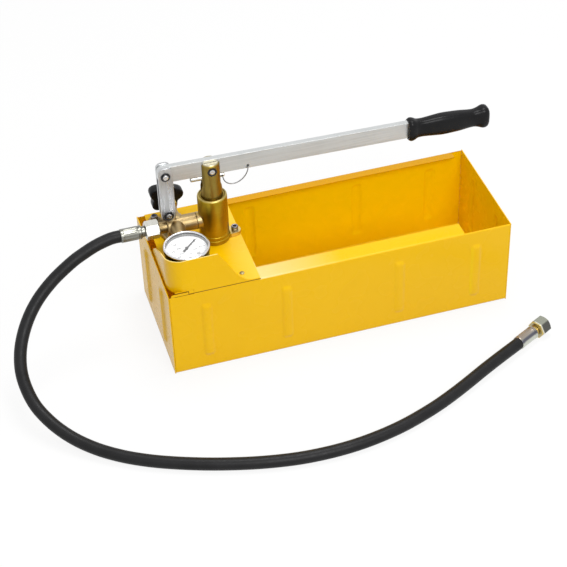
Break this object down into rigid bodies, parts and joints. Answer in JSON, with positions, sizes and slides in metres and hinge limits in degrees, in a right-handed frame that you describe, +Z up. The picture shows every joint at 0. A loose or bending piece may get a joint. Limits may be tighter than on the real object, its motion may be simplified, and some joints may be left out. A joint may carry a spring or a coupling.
{
  "type": "hydrostatic test pump",
  "caption": "Hand lever pressure test pump on an open sheet steel water tank, with a pressure gauge, a relief knob and a discharge hose with a union nut.",
  "frame": {"origin": "middle of the tank's underside", "axes": "+X along the tank from the pump to the grip, +Y from the front wall to the back wall, +Z up"},
  "size_m": [0.7478, 0.4231, 0.281],
  "materials": {
    "yellow_paint": "gloss",
    "brass": "machined",
    "zinc_steel": "satin",
    "chrome": "polished",
    "copper": "satin",
    "black_plastic": "satin",
    "dial_white": "matt",
    "clear_lens": "clear",
    "hose_rubber": "satin",
    "seal_rubber": "matt"
  },
  "bodies": {
    "tank_and_pump": {"tank_trough": "yellow_paint", "tank_left_end": "yellow_paint", "tank_right_end": "yellow_paint", "console_plate": "yellow_paint", "plate_screw_1": "zinc_steel", "plate_screw_2": "zinc_steel", "plate_screw_3": "zinc_steel", "pump_cylinder": "brass", "cylinder_gland": "brass", "piston_seal": "seal_rubber", "valve_manifold": "brass", "front_bolt": "zinc_steel", "front_washer": "zinc_steel", "front_nut": "zinc_steel", "back_bolt": "zinc_steel", "back_washer": "zinc_steel", "back_nut": "zinc_steel", "outlet_nipple": "brass", "near_sealing_washer": "copper", "near_union_nut": "zinc_steel", "near_hose_tail": "zinc_steel", "near_ferrule": "zinc_steel", "hose": "hose_rubber", "far_ferrule": "zinc_steel", "far_hose_tail": "brass", "link_base_pin": "zinc_steel", "base_pin_clip_near": "black_plastic", "base_pin_clip_far": "black_plastic", "gauge_case": "chrome", "gauge_bezel": "chrome", "gauge_lens": "clear_lens", "gauge_dial": "dial_white", "gauge_stem": "brass", "gauge_bourdon_tube": "copper", "relief_gland": "brass", "suction_valve_body": "brass", "suction_tube": "copper", "suction_strainer": "black_plastic", "return_tube": "copper", "suction_spring": "zinc_steel", "discharge_spring": "zinc_steel"},
    "links": {"near_link": "zinc_steel", "far_link": "zinc_steel", "link_top_pin": "zinc_steel", "top_pin_clip_near": "black_plastic", "top_pin_clip_far": "black_plastic"},
    "lever": {"lever_bar": "zinc_steel", "lever_grip": "black_plastic", "lock_pin": "zinc_steel", "tether_wire": "zinc_steel"},
    "piston": {"piston_rod": "brass", "piston_pin": "zinc_steel", "piston_pin_clip_near": "black_plastic", "piston_pin_clip_far": "black_plastic"},
    "spindle": {"relief_spindle": "zinc_steel"},
    "knob": {"star_knob": "black_plastic"},
    "needle": {"gauge_needle": "black_plastic"},
    "suction_valve": {"suction_ball": "zinc_steel"},
    "discharge_valve": {"discharge_ball": "zinc_steel"},
    "hose_nut": {"far_union_nut": "zinc_steel"}
  },
  "joints": [
    {"name": "link_swing", "type": "hinge", "parent": "tank_and_pump", "child": "links", "pos_m": [-0.2196, 0.012, 0.201], "axis": [0, 1, 0], "range_deg": [0, 7.82]},
    {"name": "lever_swing", "type": "hinge", "parent": "links", "child": "lever", "pos_m": [-0.2196, 0.012, 0.267], "axis": [0, -1, 0], "range_deg": [0, 42.8]},
    {"name": "piston_stroke", "type": "slide", "parent": "tank_and_pump", "child": "piston", "axis": [0, 0, 1], "range_m": [0, 0.0362]},
    {"name": "spindle_travel", "type": "slide", "parent": "tank_and_pump", "child": "spindle", "axis": [0, 1, 0], "range_m": [0, 0.003]},
    {"name": "knob_turn", "type": "hinge", "parent": "spindle", "child": "knob", "pos_m": [-0.208, 0.073, 0.179], "axis": [0, 1, 0], "range_deg": [0, 720]},
    {"name": "needle_sweep", "type": "hinge", "parent": "tank_and_pump", "child": "needle", "pos_m": [-0.21, -0.0525, 0.183], "axis": [0, 0, -1], "range_deg": [0, 270], "stiffness_Nm_per_rad": 0.0002},
    {"name": "suction_lift", "type": "slide", "parent": "tank_and_pump", "child": "suction_valve", "axis": [0, 0, 1], "range_m": [0, 0.002], "stiffness_N_per_m": 60, "deforming": ["suction_spring"]},
    {"name": "discharge_lift", "type": "slide", "parent": "tank_and_pump", "child": "discharge_valve", "axis": [-1, 0, 0], "range_m": [0, 0.002], "stiffness_N_per_m": 60, "deforming": ["discharge_spring"]},
    {"name": "hose_nut_spin", "type": "hinge", "parent": "tank_and_pump", "child": "hose_nut", "pos_m": [0.26587, -0.18002, 0.0123], "axis": [0.8829, 0.4695, 0], "continuous": true}
  ],
  "couplings": [
    {"joint": "link_swing", "follows": "lever_swing", "ratio": 0.1825},
    {"joint": "piston_stroke", "follows": "lever_swing", "m_per_rad": 0.0483},
    {"joint": "spindle_travel", "follows": "knob_turn", "m_per_rad": 0.00023873}
  ]
}
